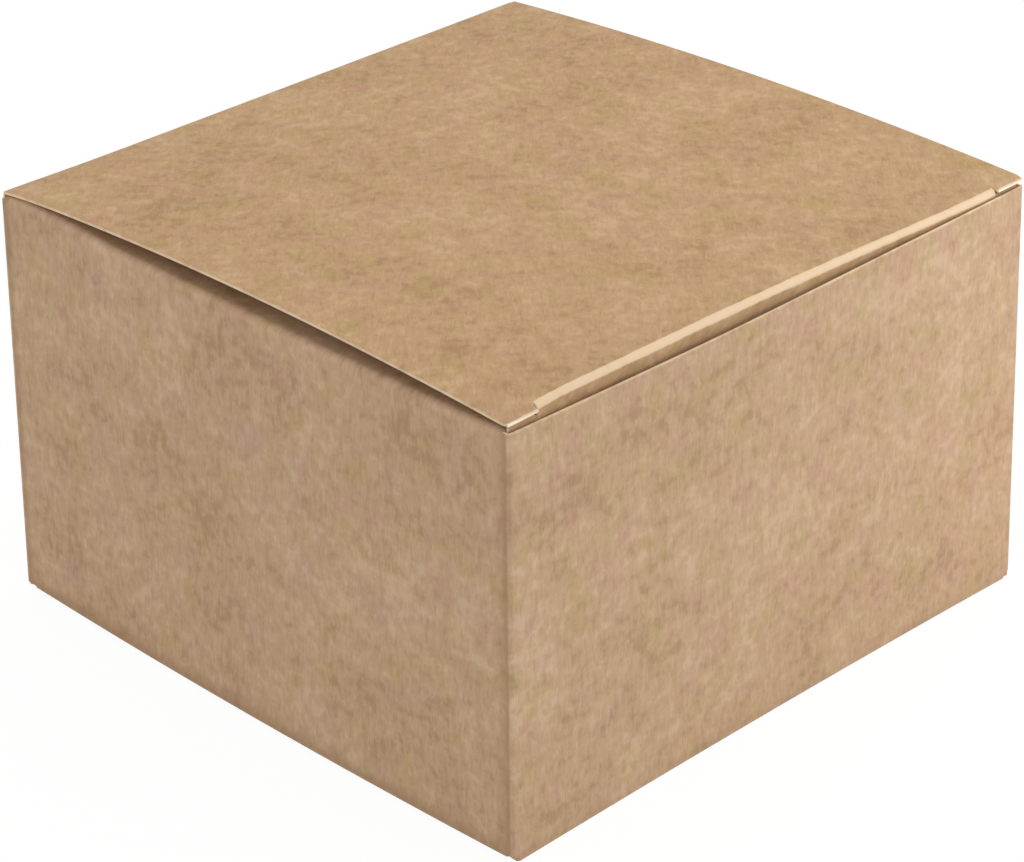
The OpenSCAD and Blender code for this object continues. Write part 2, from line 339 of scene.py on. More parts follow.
def fold_blank(bm, wear_and_painted_light_at, place_at, grain=0):
    """Joins the cut panels, maps their flat place turned by the grain, and folds them."""
    bmesh.ops.remove_doubles(bm, verts=bm.verts[:], dist=2e-6)
    bm.normal_update()
    bmesh.ops.reverse_faces(bm, faces=[face for face in bm.faces if face.normal.z < 0])
    flat_map = bm.loops.layers.uv.new(SHEET_UV)
    for face in bm.faces:
        for loop in face.loops:
            loop[flat_map].uv = Matrix.Rotation(grain, 2) @ loop.vert.co.xy
    # Per-point attribute: broken fibres above 0, painted shade below 0, and on the tuck fold a painted
    # highlight
    wear = bm.verts.layers.float.new(WEAR_AND_PAINTED_LIGHT)
    for vert in bm.verts:
        across, along = vert.co.xy
        vert[wear] = wear_and_painted_light_at(across, along)
        vert.co = lean_in(place_at(across, along))


def lean_in(point):
    """Leans the walls in, and what lies between them with them. The hinge wall stays upright."""
    sizes = settings().carton
    share = min(point.z / wall_height(), 1)
    from_left = (point.x + HALF_W) / (2 * HALF_W)
    from_front = (point.y + HALF_D) / (2 * HALF_D)
    x = point.x + share * (sizes.lean_left * (1 - from_left) - sizes.lean_right * from_left)
    y = point.y + share * sizes.lean_front * (1 - from_front)
    sag = sizes.near_sag * (1 - from_front) * (1 - smooth_step((from_left - SAG_START) / SAG_FADE))
    far_out = (from_left / LIFT_REACH_X) ** 2 + ((1 - from_front) / LIFT_REACH_Y) ** 2
    lift = sizes.corner_lift * math.exp(-far_out)
    return Vector((x, y, point.z + share * (lift - sag)))


def sheet_object(name, bm, face):
    """Turns a folded blank into a piece as thick as the board, with pale cut edges."""
    mesh = bpy.data.meshes.new(name)
    bm.to_mesh(mesh)
    bm.free()
    piece = bpy.data.objects.new(name, mesh)
    bpy.context.scene.collection.objects.link(piece)
    mesh.materials.append(face)
    mesh.materials.append(cut_edge())
    shell = piece.modifiers.new("Board", "SOLIDIFY")
    shell.thickness = BOARD
    shell.offset = 0
    shell.use_even_offset = True
    shell.material_offset_rim = 1
    bpy.context.view_layer.objects.active = piece
    bpy.ops.object.modifier_apply(modifier=shell.name)
    for polygon in mesh.polygons:
        polygon.use_smooth = True
    piece.data.set_sharp_from_angle(angle=math.radians(50))
    return piece


# The carton


class WallWalk:
    """The way around the walls, counter-clockwise from above, in the middle of the board.

    It starts at the free end of the glue flap, and ends at the side wall's raw edge over it.
    """

    def __init__(self):
        sizes = settings().carton
        self.turn_r = sizes.fold_r - BOARD / 2
        straight_w = 2 * (HALF_W - sizes.fold_r)
        straight_d = 2 * (HALF_D - sizes.fold_r)
        self.stretches = {}
        self.length = 0
        self.place = Vector((HALF_W - 1.5 * BOARD, HALF_D - sizes.seam_w))
        self.heading = math.pi / 2
        self.go("glue", sizes.seam_w - sizes.fold_r)
        self.turn("seam corner")
        self.go("back", straight_w - BOARD)
        self.turn("back corner")
        self.go("left", straight_d)
        self.turn("near corner")
        self.go("front", straight_w)
        self.turn("far corner")
        self.go("right", straight_d + 0.4 * sizes.fold_r)

    def go(self, name, distance):
        ahead = Vector((math.cos(self.heading), math.sin(self.heading)))
        self.stretches[name] = (self.length, self.length + distance, self.place.copy(), self.heading, False)
        self.place += ahead * distance
        self.length += distance

    def turn(self, name):
        inward = Vector((-math.sin(self.heading), math.cos(self.heading)))
        distance = self.turn_r * math.pi / 2
        self.stretches[name] = (self.length, self.length + distance, self.place.copy(), self.heading, True)
        self.heading += math.pi / 2
        next_inward = Vector((-math.sin(self.heading), math.cos(self.heading)))
        self.place += (inward - next_inward) * self.turn_r
        self.length += distance

    def ends(self, name):
        return self.stretches[name][:2]

    def at(self, name, along):
        """How far along the walk lies the point of a wall at that distance from its middle line."""
        start, _end, place, heading, _turning = self.stretches[name]
        return start + along - place.dot(Vector((math.cos(heading), math.sin(heading))))

    def stand(self, walked):
        """Name of the stretch, distance along it from the middle line, place and inward direction."""
        for name, (start, end, place, heading, turning) in self.stretches.items():
            if walked <= end + 1e-7:
                break
        ahead = Vector((math.cos(heading), math.sin(heading)))
        inward = Vector((-ahead.y, ahead.x))
        if not turning:
            return name, place.dot(ahead) + walked - start, place + ahead * (walked - start), inward
        angle = (walked - start) / self.turn_r
        turned = inward * math.cos(angle) - ahead * math.sin(angle)
        return name, 0, place + (inward - turned) * self.turn_r, turned


class CartonBlank:
    """The carton's flat blank: walked distance along X, height on the walls along Y."""

    def __init__(self):
        self.sizes = sizes = settings().carton
        self.walk = WallWalk()
        self.top = wall_height()
        self.bend_r = sizes.fold_r - BOARD / 2
        self.bend_len = self.bend_r * math.pi / 2
        self.dust_bend_r = sizes.dust_fold_r - BOARD / 2
        self.dust_bend_len = self.dust_bend_r * math.pi / 2
        self.relief = sizes.dust_relief
        self.front_foot = sizes.fold_r
        self.side_foot = sizes.fold_r + 2 * BOARD
        self.side_top = self.top - sizes.dust_fold_r
        self.stub_top = self.side_top + self.dust_bend_len / 2
        self.crease_foot = HINGE_Z - crease_reach()
        self.step = -sizes.lock_reach - sizes.lock_ramp
        dust_back = HALF_D - sizes.dust_back
        dust_front = HALF_D - sizes.dust_front
        self.dust_ends = {"left": (-dust_back, dust_front), "right": (-dust_front, dust_back)}
        self.main_ends = (
            sizes.fold_r + sizes.base_relief - HALF_W,
            HALF_W - sizes.fold_r - sizes.base_relief,
        )
        self.side_ends = (
            sizes.fold_r + 2 * sizes.base_relief - HALF_D,
            HALF_D - sizes.fold_r - sizes.base_relief,
        )

    def foot(self, wall):
        return self.front_foot if wall in ("front", "back") else self.side_foot

    def build(self):
        bm = bmesh.new()
        self.add_walls(bm)
        for wall in ("left", "right"):
            self.add_dust_flap(bm, wall)
            self.add_side_flap(bm, wall)
        for wall in ("front", "back"):
            self.add_main_flap(bm, wall)
        self.cut(bm)
        fold_blank(bm, self.wear, self.fold)
        return bm

    def add_walls(self, bm):
        sizes, walk = self.sizes, self.walk
        start, end = walk.ends("glue")
        slant = sizes.seam_w / 4
        foot, top = self.side_foot + BOARD, self.side_top
        add_panel(bm, [(start, foot + slant), (end, foot), (end, top), (start, top - slant)])
        for corner in ("seam corner", "back corner"):
            add_rectangle(bm, *walk.ends(corner), self.side_foot, self.stub_top)
        for corner in ("near corner", "far corner"):
            add_rectangle(bm, *walk.ends(corner), self.side_foot, self.top)
        add_rectangle(bm, *walk.ends("back"), self.front_foot, self.crease_foot)
        add_rectangle(bm, *walk.ends("front"), self.front_foot, self.top)
        for wall in ("left", "right"):
            start, end = walk.ends(wall)
            add_rectangle(bm, start, end, self.side_foot, self.side_top)
            dust_start, dust_end = (walk.at(wall, along) for along in self.dust_ends[wall])
            tops = (self.stub_top, self.top) if wall == "left" else (self.top, self.stub_top)
            add_rectangle(bm, start, dust_start - self.relief, self.side_top, tops[0])
            add_rectangle(bm, dust_end + self.relief, end, self.side_top, tops[1])

    def add_dust_flap(self, bm, wall):
        sizes = self.sizes
        start, end = (self.walk.at(wall, along) for along in self.dust_ends[wall])
        fold_end = self.side_top + self.dust_bend_len
        tip = fold_end + sizes.dust_len - sizes.dust_fold_r
        add_rectangle(bm, start, end, self.side_top, fold_end)
        taper, radius = sizes.dust_taper, sizes.dust_corner_r
        add_panel(
            bm,
            [(start, fold_end), (end, fold_end), (end - taper, tip), (start + taper, tip)],
            (0, 0, radius, radius),
        )

    def add_main_flap(self, bm, wall):
        sizes = self.sizes
        left, right = self.main_ends
        gap = sizes.lock_gap / 2
        over = sizes.lock_lap - sizes.lock_reach
        nose = sizes.lock_reach
        root = sizes.fold_r - HALF_D

        def flat(points):
            return [(self.walk.at(wall, x), self.flap_height(wall, y - root)) for x, y in points]

        fold_start, fold_end = self.walk.at(wall, left), self.walk.at(wall, right)
        add_rectangle(bm, fold_start, fold_end, self.flap_height(wall, 0), self.foot(wall))
        add_panel(bm, flat([(left, root), (right, root), (right, self.step), (left, self.step)]))
        add_panel(
            bm,
            flat(
                [
                    (left, self.step),
                    (left, nose - sizes.slant_d),
                    (left + sizes.slant_w, nose),
                    (-sizes.lock_lean - gap, nose),
                    (sizes.lock_lean - gap, -nose - gap),
                    (sizes.lock_lean - gap, self.step),
                ]
            ),
            (0, sizes.deep_corner_r, sizes.deep_corner_r, sizes.lock_corner_r, 0, 0),
        )
        add_panel(
            bm,
            flat(
                [
                    (sizes.lock_lean, self.step),
                    (right, self.step),
                    (right, -nose),
                    (right - sizes.lap_taper, over),
                    (sizes.lock_lean, over),
                ]
            ),
            (0, 0, 0, sizes.lap_corner_r, sizes.lap_inner_r),
        )

    def add_side_flap(self, bm, wall):
        sizes = self.sizes
        left, right = self.side_ends
        depth = sizes.side_flap_len - sizes.fold_r
        start, end = self.walk.at(wall, left), self.walk.at(wall, right)
        fold_end = self.flap_height(wall, 0)
        tip = self.flap_height(wall, depth)
        add_rectangle(bm, start, end, fold_end, self.foot(wall))
        add_panel(
            bm,
            [(start, fold_end), (end, fold_end), (end - depth, tip), (start + sizes.side_flap_len, tip)],
            (0, 0, 0, sizes.side_corner_r),
        )

    def flap_height(self, wall, depth):
        """Height in the blank of a base flap's point that lies that far in past its fold."""
        return self.foot(wall) - self.bend_len - depth

    def cut(self, bm):
        """Cuts the blank at every fold and limit, and into small panels between them."""
        across = []
        for name, (start, end, _place, _heading, turning) in self.walk.stretches.items():
            across += steps_between(start, end, self.bend_len / FOLD_STEPS if turning else GRID)
            if not turning:
                across += [start + WEAR_REACH, end - WEAR_REACH]
        for wall in ("left", "right"):
            for along in self.dust_ends[wall] + self.side_ends:
                across.append(self.walk.at(wall, along))
            start, end = (self.walk.at(wall, along) for along in self.dust_ends[wall])
            across += [start - self.relief, end + self.relief]
        for wall in ("front", "back"):
            across += [self.walk.at(wall, along) for along in self.main_ends]
        along = [self.top, self.top - WEAR_REACH, self.stub_top]
        along += steps_between(self.side_foot + WEAR_REACH, self.side_top - WEAR_REACH, GRID)
        fold_end = self.side_top + self.dust_bend_len
        along += steps_between(self.side_top, fold_end, self.dust_bend_len / FOLD_STEPS)
        along += steps_between(fold_end + WEAR_REACH, self.top + self.sizes.dust_len, GRID)
        for foot in (self.front_foot, self.side_foot):
            along += steps_between(foot - self.bend_len, foot, self.bend_len / FOLD_STEPS)
        deepest = -HALF_D - self.sizes.lock_reach
        along += steps_between(deepest, self.front_foot - self.bend_len - WEAR_REACH, GRID)
        step_depth = self.step + HALF_D - self.sizes.fold_r
        along += [self.flap_height("front", step_depth + extra) for extra in (0, self.sizes.lock_ramp)]
        cut_across(bm, 0, across)
        cut_across(bm, 1, along)

    def fold(self, walked, height):
        """Place of a blank's point on the folded carton."""
        wall, along, place, inward = self.walk.stand(walked)
        depth, z = 0, height
        foot = self.foot(wall)
        if height < foot:
            depth, z = bend_over(foot - height, self.bend_r)
            z = foot - z + self.lift(wall, along, depth)
        elif wall in self.dust_ends and height > self.side_top:
            start, end = self.dust_ends[wall]
            back_stub = along < start if wall == "left" else along > end
            if back_stub or start - self.relief / 2 < along < end + self.relief / 2:
                depth, z = bend_over(height - self.side_top, self.dust_bend_r)
                z += self.side_top
        if wall == "left":
            share = (along + HALF_D) / (2 * HALF_D)
            rise = self.sizes.left_rise * swell(share / LEFT_RISE_SHARE, LEFT_RISE_SKEW)
            sag = self.sizes.left_sag * swell(share, LEFT_SAG_SKEW) - rise
            z -= sag * min(height / self.top, 1)
        ground = place + inward * (depth - self.bow(wall, walked, height))
        return Vector((ground.x, ground.y, z))

    def lift(self, wall, along, depth):
        """Rise of a shallow half of the base as it climbs on to the other flap."""
        sizes = self.sizes
        if wall in ("left", "right") or along < sizes.lock_lean - sizes.lock_gap / 4:
            return 0
        reach = depth + BOARD / 2 - HALF_D - self.step
        return BOARD * min(max(reach / sizes.lock_ramp, 0), 1)

    def bow(self, wall, walked, height):
        """How far a point of a wall or of its flaps stands out, as thin board does."""
        sizes = self.sizes
        foot_bow, top_bow = {
            "front": (sizes.front_foot_bow, sizes.front_bow),
            "left": (sizes.left_foot_bow, sizes.left_bow),
        }.get(wall, (0, 0))
        if wall not in ("front", "left", "right", "back"):
            return 0
        start, end = self.walk.ends(wall)
        share = (walked - start) / (end - start)
        up = (height - self.foot(wall)) / (self.top - self.foot(wall))
        beyond = max(self.foot(wall) - height, height - self.top, 0)
        kept = 1 - smooth_step(beyond / sizes.bow_reach)
        held = min(max(up, 0), 1)
        ripple = noise.noise(Vector((walked, height, 0)) / sizes.wave_size) * math.sin(math.pi * held)
        return swell(share) * ((foot_bow * (1 - held) + top_bow * held) * kept + sizes.wave * ripple)

    def wear(self, walked, height):
        """How far the board's fibres are broken along a fold or cut edge, from 0 to 1, or below 0 how much
        painted shade lies beside a fold.
        """
        wall = self.walk.stand(walked)[0]
        foot_distance = abs(height - self.foot(wall) + self.bend_len / 2)
        corner_distance = min(
            abs(walked - sum(self.walk.ends(corner)) / 2)
            for corner in ("seam corner", "back corner", "near corner", "far corner")
        )
        if wall == "front" and height > self.top - WEAR_REACH:
            return RAW_EDGE_WEAR * (1 - smooth_step((self.top - height) / WEAR_REACH))
        distance = min(corner_distance, foot_distance)
        creased = FOLD_WEAR * (1 - smooth_step(distance / (WEAR_REACH + self.bend_len / 2)))
        # Painted shade: on the left wall beside its corners and its foot, on the other walls along the foot
        if wall == "left":
            return creased - LEFT_SHADE * (1 - smooth_step(distance / SHADE_REACH))
        return creased - FOOT_SHADE * (1 - smooth_step(foot_distance / SHADE_REACH))


def bend_over(distance, radius):
    """Reach across and height of a point that far along a quarter bend, and past it."""
    quarter = radius * math.pi / 2
    if distance > quarter:
        return radius + distance - quarter, radius
    angle = distance / radius
    return radius * (1 - math.cos(angle)), radius * math.sin(angle)


def add_glue_triangle(bm, turned):
    """The triangle between a side flap and the main flap that it is glued to."""
    sizes = settings().carton
    left = sizes.fold_r + sizes.base_relief - HALF_W
    near = sizes.fold_r + 2 * sizes.base_relief - HALF_D
    far = sizes.glue_len + sizes.fold_r
    corners = [(left, near), (far - HALF_W, far - HALF_D + sizes.base_relief), (left, far - HALF_D)]
    side = -1 if turned else 1
    verts = [bm.verts.new(lean_in(Vector((side * x, side * y, 1.5 * BOARD)))) for x, y in corners]
    bm.faces.new(verts)


# The lid


def crease_reach():
    """How far from the hinge line the crease starts and ends."""
    return settings().lid.crease_r / math.tan((math.pi / 2 + LidProfile().rise) / 2)


class LidProfile:
    """The lid's profile in Y and Z: an arch from the hinge, the tuck fold, and the flap behind the wall."""

    def __init__(self):
        lid = settings().lid
        self.hinge = Vector((HINGE_Y, HINGE_Z))
        fold_y = BOARD + lid.tuck_gap + lid.roll_r - HALF_D
        self.fold_top = Vector((fold_y, wall_height() + lid.roll_rise - BOARD / 2))
        chord = self.fold_top - self.hinge
        self.arch_r = chord.length**2 / (8 * lid.crown) + lid.crown / 2
        half_angle = math.asin(chord.length / 2 / self.arch_r)
        chord_angle = math.atan2(chord.y, -chord.x)
        self.rise = half_angle + chord_angle
        self.arch_len = 2 * half_angle * self.arch_r
        self.fold_r = lid.roll_r - BOARD / 2
        self.fall = half_angle - chord_angle
        self.turn = math.pi / 2 - self.fall + math.atan(lid.tuck_len / (4 * HALF_D)) + lid.tuck_lean
        self.roll_len = self.turn * self.fold_r
        self.fold_end = self.arch_len + self.roll_len

    def at(self, run):
        """Place of the point at that distance from the hinge."""
        if run <= self.arch_len:
            return self.arch(run)
        angle = min((run - self.arch_len) / self.fold_r, self.turn)
        centre = self.fold_top - self.fold_r * Vector((-math.sin(self.fall), math.cos(self.fall)))
        place = centre + self.fold_r * Vector((-math.sin(self.fall + angle), math.cos(self.fall + angle)))
        beyond = max(run - self.fold_end, 0)
        return place + beyond * Vector((-math.cos(self.fall + angle), -math.sin(self.fall + angle)))

    def arch(self, run):
        angle = self.rise - run / self.arch_r
        centre = self.hinge - self.arch_r * Vector((math.sin(self.rise), math.cos(self.rise)))
        return centre + self.arch_r * Vector((math.sin(angle), math.cos(angle)))


class LidBlank:
    """The lid's flat blank: X as on the box, and the distance from the hinge along -Y."""

    def __init__(self):
        self.sizes = lid = settings().lid
        self.profile = LidProfile()
        self.half_w = HALF_W - lid.inset
        self.start = crease_reach()
        self.roll_half_w = HALF_W - lid.slit_len - lid.slit_gap / 2
        self.tab_half_w = HALF_W - lid.slit_len + lid.slit_gap / 2
        self.ear_half_w = HALF_W - BOARD - lid.ear_gap
        self.tab_end = self.profile.arch_len + self.profile.fold_top.x + HALF_D - BOARD / 2
        ear_drop = self.profile.at(self.profile.fold_end).y - wall_height() - lid.ear_rise
        self.ear_start = self.profile.fold_end + max(ear_drop, 0)
        self.end = self.profile.fold_end + lid.tuck_len

    def build(self):
        bm = bmesh.new()
        arch_end = self.profile.arch_len
        add_rectangle(bm, -self.half_w, self.half_w, -arch_end, -self.start)
        for side in (-1, 1):
            tab = sorted((side * self.tab_half_w, side * self.half_w))
            add_rectangle(bm, *tab, -self.tab_end, -arch_end)
        add_rectangle(bm, -self.roll_half_w, self.roll_half_w, -self.ear_start, -arch_end)
        radius = self.sizes.tuck_corner_r
        ear_radius = self.sizes.ear_corner_r
        ear = self.ear_half_w
        add_panel(
            bm,
            [(-ear, -self.end), (ear, -self.end), (ear, -self.ear_start), (-ear, -self.ear_start)],
            (radius, radius, ear_radius, ear_radius),
        )
        self.cut(bm)
        fold_blank(bm, self.wear, self.fold, self.sizes.grain)
        return bm

    def cut(self, bm):
        arch_end, fold_end = self.profile.arch_len, self.profile.fold_end
        across = steps_between(-self.roll_half_w, self.roll_half_w, GRID)
        for side in (-1, 1):
            across += [side * place for place in steps_between(self.tab_half_w, self.half_w, TAB_GRID)]
        along = steps_between(self.start, arch_end, GRID)
        along += steps_between(arch_end, fold_end, self.profile.roll_len / TUCK_FOLD_STEPS)
        along += [arch_end - WEAR_REACH, self.tab_end - WEAR_REACH, self.tab_end, self.ear_start]
        along.append(fold_end + WEAR_REACH)
        along += steps_between(fold_end, self.end, GRID)
        cut_across(bm, 0, across)
        cut_across(bm, 1, [-place for place in along])

    def fold(self, x, y):
        run = -y
        place = self.profile.arch(run) if self.on_tab(x, run) else self.profile.at(run)
        return Vector((x, place.x, place.y - self.droop(x, run) + self.ear_lift(x, run)))

    def on_tab(self, x, run):
        """Whether a point lies past the slits' inner ends, on the lid's panel or on a tab."""
        return abs(x) > (self.tab_half_w + self.roll_half_w) / 2 and run <= self.tab_end + 1e-7

    def pressed(self, x, run):
        """How far the lid's front is pressed down, and its flap with it."""
        sizes = self.sizes
        near = sizes.near_droop * math.exp(-(((x + self.half_w) / sizes.near_reach) ** 2))
        far = sizes.far_droop * smooth_step(1 - (self.half_w - x) / sizes.far_reach)
        far -= sizes.far_rebound * math.exp(-(((self.half_w - x) / sizes.near_reach) ** 2))
        return (near + far) * min(run / self.profile.arch_len, 1) ** 1.5

    def droop(self, x, run):
        """How far a point lies below the plain profile. The tabs are bent to their own depths."""
        pressed = self.pressed(x, run)
        if self.on_tab(x, run):
            tab = self.sizes.near_tab if x < 0 else self.sizes.far_tab
            beyond = max(run - self.profile.arch_len, 0)
            pressed += (tab - pressed) * beyond / (self.tab_end - self.profile.arch_len)
        return pressed - self.side_crown(x, run)

    def side_crown(self, x, run):
        """How much higher the lid arches near its left edge."""
        kept = math.exp(-(((x + self.half_w) / self.sizes.left_reach) ** 2))
        return self.sizes.left_crown * kept * swell(run / self.profile.arch_len, CROWN_SKEW)

    def ear_lift(self, x, run):
        """Rise of an ear, which fades out down the ear."""
        if run < self.ear_start - 1e-7:
            return 0
        out = (abs(x) - self.roll_half_w) / (self.ear_half_w - self.roll_half_w)
        kept = 1 - (run - self.ear_start) / (self.end - self.ear_start)
        lift = self.pressed(x, run) + (self.sizes.near_ear if x < 0 else self.sizes.far_ear)
        return smooth_step(out / EAR_STEP) * kept * lift

    def wear(self, x, y):
        """How far the board's fibres are broken: most on the tuck fold, whose pale band is also a painted
        highlight, and on the tabs' front edges.
        """
        run = -y
        profile = self.profile
        if self.on_tab(x, run):
            return 1 - smooth_step((self.tab_end - run) / (2 * WEAR_REACH))
        # The tuck fold's pale band: broken fibres and a painted highlight, fading down the fold
        turned = (run - profile.arch_len) / profile.roll_len
        worn_and_painted_light = smooth_step((run - profile.arch_len + WEAR_REACH) / WEAR_REACH)
        return worn_and_painted_light * (1 - smooth_step((turned - TUCK_WEAR_AND_HIGHLIGHT_TO) / TUCK_WEAR_AND_HIGHLIGHT_FADE))


def build_crease():
    """The crease that joins the hinge wall to the lid, a quarter bend spun along the hinge line."""
    sizes = settings()
    profile = LidProfile()
    radius = sizes.lid.crease_r
    centre = Vector((0, HINGE_Y - radius, HINGE_Z - crease_reach()))
    left = sizes.carton.fold_r - HALF_W
    right = HALF_W - sizes.carton.fold_r - BOARD
    bm = bmesh.new()
    row = [bm.verts.new((x, HINGE_Y, centre.z)) for x in steps_between(left, right, GRID)]
    edges = [bm.edges.new(pair) for pair in zip(row, row[1:])]
    bmesh.ops.spin(
        bm,
        geom=row + edges,
        cent=centre,
        axis=(1, 0, 0),
        angle=math.pi / 2 - profile.rise,
        steps=ROUND_STEPS,
        use_merge=False,
    )
    bm.normal_update()
    inward = [face for face in bm.faces if min(face.normal.y, face.normal.z) < -0.01]
    bmesh.ops.reverse_faces(bm, faces=inward)
    flat_map = bm.loops.layers.uv.new(SHEET_UV)
    wear = bm.verts.layers.float.new(WEAR_AND_PAINTED_LIGHT)
    for face in bm.faces:
        for loop in face.loops:
            height = HINGE_Z + math.atan2(loop.vert.co.z - centre.z, loop.vert.co.y - centre.y) * radius
            loop[flat_map].uv = (loop.vert.co.x, height)
    for vert in bm.verts:
        vert[wear] = CREASE_WEAR
        vert.co = lean_in(vert.co)
    return bm


# Materials


def add_node(tree, kind, **values):
    """Adds a node and sets its properties by name."""
    node = tree.nodes.new(kind)
    for name, value in values.items():
        setattr(node, name, value)
    return node


def feed(tree, socket, value):
    """Links a socket to another one, or sets its value."""
    if isinstance(value, bpy.types.NodeSocket):
        tree.links.new(value, socket)
    else:
        socket.default_value = value


def noise_texture(tree, vector, scale, detail=2, roughness=0.5, distortion=0):
    node = add_node(tree, "ShaderNodeTexNoise")
    feed(tree, node.inputs["Vector"], vector)
    feed(tree, node.inputs["Scale"], scale)
    feed(tree, node.inputs["Detail"], detail)
    feed(tree, node.inputs["Roughness"], roughness)
    feed(tree, node.inputs["Distortion"], distortion)
    return node.outputs["Fac"]


def turned(tree, vector, angle, scale):
    """A pattern's coordinates, turned and stretched in the plane of the sheet."""
    node = add_node(tree, "ShaderNodeMapping")
    feed(tree, node.inputs["Vector"], vector)
    node.inputs["Rotation"].default_value = (0, 0, math.radians(angle))
    node.inputs["Scale"].default_value = scale
    return node.outputs["Vector"]


def ramp(tree, value, low, high, to_low=0, to_high=1):
    """Maps a value smoothly from one range to another, and holds it there."""
    node = add_node(tree, "ShaderNodeMapRange", interpolation_type="SMOOTHSTEP")
    names = ("Value", "From Min", "From Max", "To Min", "To Max")
    for name, setting in zip(names, (value, low, high, to_low, to_high)):
        feed(tree, node.inputs[name], setting)
    return node.outputs["Result"]


def math_node(tree, operation, first, second=0.0, third=0.0):
    node = add_node(tree, "ShaderNodeMath", operation=operation)
    for socket, value in zip(node.inputs, (first, second, third)):
        feed(tree, socket, value)
    return node.outputs[0]


def mix_colour(tree, share, first, second, blend_type="MIX"):
    node = add_node(tree, "ShaderNodeMix", data_type="RGBA", blend_type=blend_type)
    for socket, value in zip((node.inputs[0], node.inputs[6], node.inputs[7]), (share, first, second)):
        feed(tree, socket, value)
    return node.outputs[2]


def new_group(name, inputs, outputs):
    """A shader node group with named inputs, given with their defaults, and outputs."""
    group = bpy.data.node_groups.new(name, "ShaderNodeTree")
    for title, kind, default in inputs:
        socket = group.interface.new_socket(name=title, in_out="INPUT", socket_type=kind)
        if default is not None:
            socket.default_value = default
    for title, kind in outputs:
        group.interface.new_socket(name=title, in_out="OUTPUT", socket_type=kind)
    return group, group.nodes.new("NodeGroupInput"), group.nodes.new("NodeGroupOutput")


def fibre_group():
    """Pressed kraft board: wisps of pale and dark fibre, soft blotches, clouds of hue, grain and specks."""
    name = "Board fibres"
    if name in bpy.data.node_groups:
        return bpy.data.node_groups[name]
    outputs = ("Pale", "Dark", "Blotch", "Hue", "Speck", "Height")
    group, source, result = new_group(
        name, [("Vector", "NodeSocketVector", None)], [(title, "NodeSocketFloat") for title in outputs]
    )
    flat = source.outputs["Vector"]
    pale, dark = 0.0, 0.0
    for angle, across, stretch in ((3, 1500, 5), (34, 1300, 4), (-41, 1300, 4)):
        lines = turned(group, flat, angle, (across, across / stretch, 1))
        wisp = noise_texture(group, lines, 1, detail=1.5, roughness=0.6, distortion=0.9)
        pale = math_node(group, "MAXIMUM", ramp(group, wisp, 0.54, 0.74), pale)
        dark = math_node(group, "MAXIMUM", ramp(group, wisp, 0.44, 0.26), dark)
    grain = noise_texture(group, flat, 2300, detail=2, roughness=0.6)
    blotch = 0.0
    for scale, weight in ((42, 0.3), (150, 0.3), (480, 0.4)):
        cloud = noise_texture(group, flat, scale, detail=2, roughness=0.55)
        blotch = math_node(group, "MULTIPLY_ADD", cloud, weight, blotch)
    hue = noise_texture(group, turned(group, flat, 60, (1, 1, 1)), 130, detail=2.5, roughness=0.6)
    speck = ramp(group, noise_texture(group, turned(group, flat, 20, (1, 0.6, 1)), 1500, detail=0), 0.8, 0.88)
    height = math_node(group, "MULTIPLY_ADD", pale, 0.5, grain)
    for title, value in zip(outputs, (pale, dark, blotch, hue, speck, height)):
        feed(group, result.inputs[title], value)
    return group


def new_material(name):
    """A material with an empty node tree but for its output and shader."""
    material = bpy.data.materials.new(name)
    material.use_nodes = True
    tree = material.node_tree
    tree.nodes.clear()
    output = add_node(tree, "ShaderNodeOutputMaterial")
    shader = add_node(tree, "ShaderNodeBsdfPrincipled")
    feed(tree, output.inputs["Surface"], shader.outputs["BSDF"])
    return material, tree, shader


def place_fibres(tree):
    """The fibre group, laid out on the sheet's flat map."""
    flat = add_node(tree, "ShaderNodeUVMap", uv_map=SHEET_UV)
    fibres = add_node(tree, "ShaderNodeGroup", node_tree=fibre_group())
    feed(tree, fibres.inputs["Vector"], flat.outputs["UV"])
    return fibres.outputs


def bump(tree, height, distance, strength):
    node = add_node(tree, "ShaderNodeBump")
    node.inputs["Strength"].default_value = strength
    node.inputs["Distance"].default_value = distance
    feed(tree, node.inputs["Height"], height)
    return node.outputs["Normal"]


